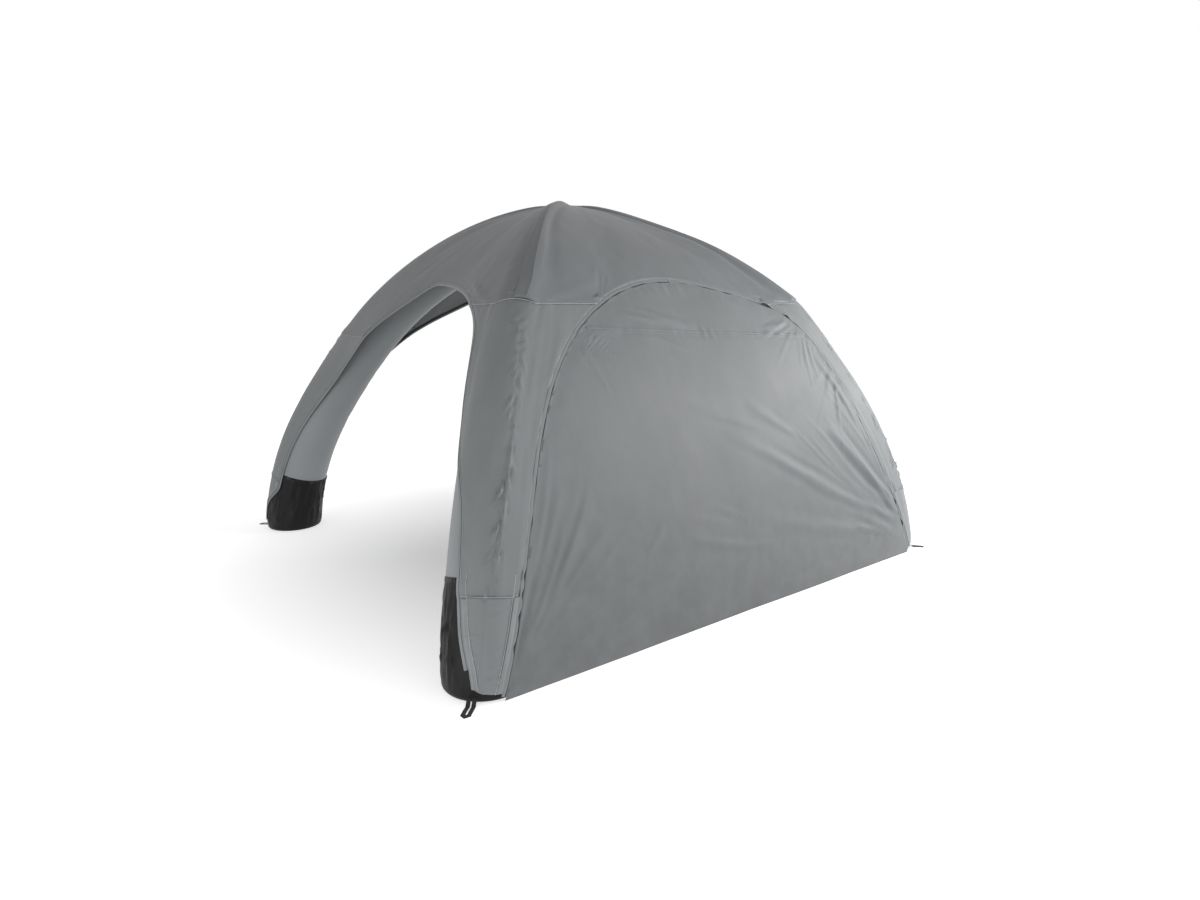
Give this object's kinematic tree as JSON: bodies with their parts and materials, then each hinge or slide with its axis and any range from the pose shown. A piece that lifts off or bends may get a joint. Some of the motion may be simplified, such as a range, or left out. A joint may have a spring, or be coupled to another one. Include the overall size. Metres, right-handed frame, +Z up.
{
  "type": "inflatable event tent",
  "caption": "Inflatable party tent: curved air tubes meet at the crown and carry a fabric roof over open archways, with one fitted side wall.",
  "frame": {"origin": "on the ground under the middle of the tent", "axes": "+Z up, -Y towards the front archway that the picture looks into, +X towards the fitted side wall"},
  "size_m": [4.1974, 4.1974, 2.7768],
  "materials": {
    "tube_fabric": "coated, satin",
    "skin_fabric": "woven polyester, soft sheen",
    "tape_fabric": "woven tape",
    "boot_fabric": "coated, matt",
    "webbing": "ribbed webbing",
    "valve_plastic": "moulded"
  },
  "bodies": {
    "root": {"crown_joint": "tube_fabric", "leg_tube_front_right": "tube_fabric", "foot_boot_front_right": "boot_fabric", "leg_patch_front_right": "skin_fabric", "leg_cover_front_right": "skin_fabric", "anchor_loop_front_right": "webbing", "leg_tube_back_right": "tube_fabric", "foot_boot_back_right": "boot_fabric", "leg_patch_back_right": "skin_fabric", "leg_cover_back_right": "skin_fabric", "anchor_loop_back_right": "webbing", "leg_tube_back_left": "tube_fabric", "foot_boot_back_left": "boot_fabric", "leg_patch_back_left": "skin_fabric", "leg_cover_back_left": "skin_fabric", "anchor_loop_back_left": "webbing", "leg_tube_front_left": "tube_fabric", "foot_boot_front_left": "boot_fabric", "leg_patch_front_left": "skin_fabric", "leg_cover_front_left": "skin_fabric", "anchor_loop_front_left": "webbing", "roof_panel_front": "skin_fabric", "roof_panel_right": "skin_fabric", "roof_panel_back": "skin_fabric", "roof_panel_left": "skin_fabric", "arch_binding_front": "tape_fabric", "arch_binding_back": "tape_fabric", "arch_binding_left": "tape_fabric", "side_wall_lower": "skin_fabric", "side_wall_upper": "skin_fabric", "wall_zip_front": "tape_fabric", "wall_zip_back": "tape_fabric", "inflation_valve": "valve_plastic"}
  },
  "joints": []
}
